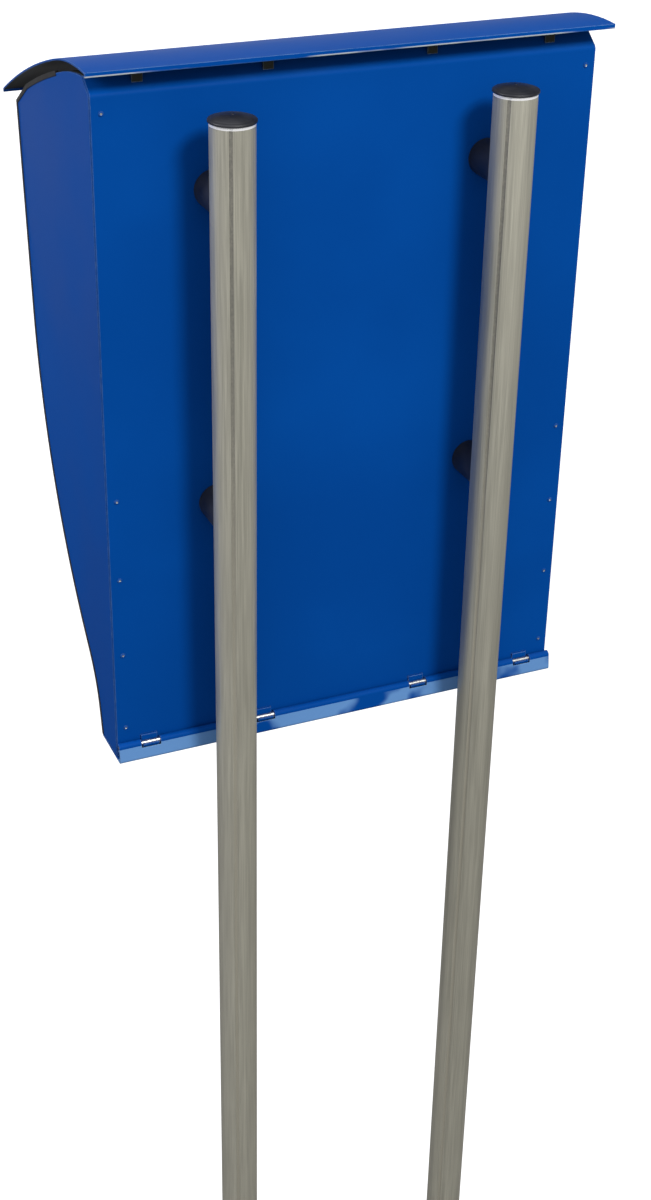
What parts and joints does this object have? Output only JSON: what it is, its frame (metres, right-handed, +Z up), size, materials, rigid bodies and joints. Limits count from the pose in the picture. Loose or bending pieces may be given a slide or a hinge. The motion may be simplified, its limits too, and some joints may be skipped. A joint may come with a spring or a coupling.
{
  "type": "post box",
  "caption": "Sheet-metal post box on two round posts, with a sprung posting flap, a quarter-turn lock and a front that tilts forward for emptying.",
  "frame": {"origin": "midway between front and rear and between the sides, level with the lower ends of the posts", "axes": "+Z up along the posts, -Y out of the posting side, +X to the right seen from the front"},
  "size_m": [0.598, 0.3876, 2.051],
  "materials": {
    "blue_sheet": "satin powder coat",
    "post_steel": "dull galvanised",
    "black_plastic": "moulded",
    "black_rubber": "matt",
    "zinc": "zinc plated",
    "slot_steel": "brushed",
    "chrome": "polished",
    "nylon": "natural",
    "card": "uncoated",
    "window": "clear plastic"
  },
  "bodies": {
    "box": {"left_post": "post_steel", "right_post": "post_steel", "left_post_cap": "black_plastic", "right_post_cap": "black_plastic", "post_spacers": "black_plastic", "post_bolts": "zinc", "post_washers": "zinc", "post_rivet_nuts": "zinc", "back_panel": "blue_sheet", "left_side_panel": "blue_sheet", "right_side_panel": "blue_sheet", "rear_rivets": "blue_sheet", "top_panel": "blue_sheet", "front_rail": "blue_sheet", "door_stop": "blue_sheet", "door_buffers": "black_rubber", "roof": "blue_sheet", "roof_tabs": "blue_sheet", "roof_spacers": "zinc", "roof_screws": "zinc", "hinge_hooks": "blue_sheet", "stop_pins": "zinc", "stop_clips": "zinc", "friction_washers": "nylon"},
    "door": {"front_door": "blue_sheet", "hinge_rod": "zinc", "left_cheek": "blue_sheet", "right_cheek": "blue_sheet", "slot_frame": "slot_steel", "flap_rod": "zinc", "flap_springs": "zinc", "letter_guide": "blue_sheet", "info_frame": "black_plastic", "info_card": "card", "info_window": "window", "lock_housing": "chrome", "lock_nut": "zinc"},
    "flap": {"posting_flap": "blue_sheet"},
    "lock": {"lock_plug": "chrome", "lock_cam": "zinc", "lock_cam_screw": "zinc"}
  },
  "joints": [
    {"name": "door_tilt", "type": "hinge", "parent": "box", "child": "door", "pos_m": [0, 0.1147, 1.245], "axis": [1, 0, 0], "range_deg": [0, 30]},
    {"name": "flap_lift", "type": "hinge", "parent": "door", "child": "flap", "pos_m": [0, -0.17579, 1.86262], "axis": [-1, 0, 0], "range_deg": [0, 75], "stiffness_Nm_per_rad": 0.06, "springref_deg": -95.68},
    {"name": "lock_turn", "type": "hinge", "parent": "door", "child": "lock", "pos_m": [0, -0.17012, 1.89314], "axis": [0, -0.9971, -0.0767], "range_deg": [0, 90]}
  ]
}
